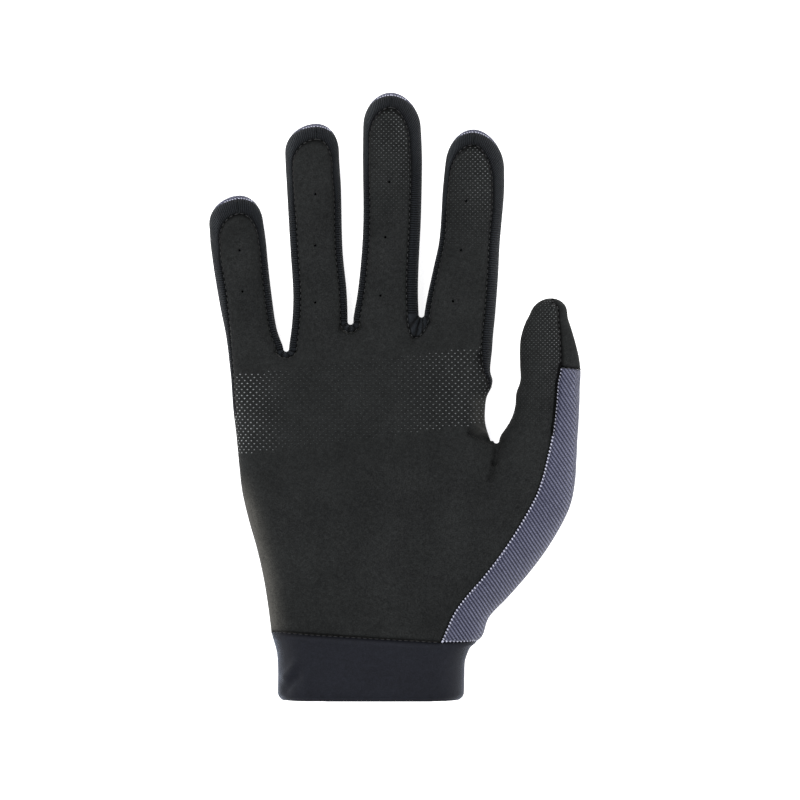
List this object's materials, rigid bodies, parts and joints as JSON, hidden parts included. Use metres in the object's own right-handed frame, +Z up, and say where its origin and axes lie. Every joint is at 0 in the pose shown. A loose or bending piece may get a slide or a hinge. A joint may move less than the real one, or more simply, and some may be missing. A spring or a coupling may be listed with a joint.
{
  "type": "full-finger cycling glove",
  "caption": "Right-hand full-finger cycling glove lying palm up, hollow, with a suede palm, knit finger sides, twill back and slip-on cuff.",
  "frame": {"origin": "on the flat underside of the back panel, the face that lies on the surface, below the middle of the palm", "axes": "+Z up from the surface, so the palm faces +Z; +Y from the cuff to the fingertips; +X to the thumb side"},
  "size_m": [0.146, 0.2393, 0.0302],
  "materials": {
    "suede": "fine synthetic suede, near black",
    "twill": "blue-grey stretch twill with diagonal ribs",
    "rib_knit": "fine ribbed stretch knit, near black",
    "stretch_cuff": "smooth stretch knit, dark navy, slight sheen",
    "grip_dots": "small raised silicone dots",
    "thread": "black sewing thread"
  },
  "bodies": {
    "root": {"palm_panel": "suede", "back_panel": "twill", "thumb_back_patch": "suede", "little_outer_strip": "rib_knit", "little_ring_fourchette": "rib_knit", "ring_middle_fourchette": "rib_knit", "middle_index_fourchette": "rib_knit", "index_outer_strip": "rib_knit", "cuff": "stretch_cuff"}
  },
  "joints": []
}
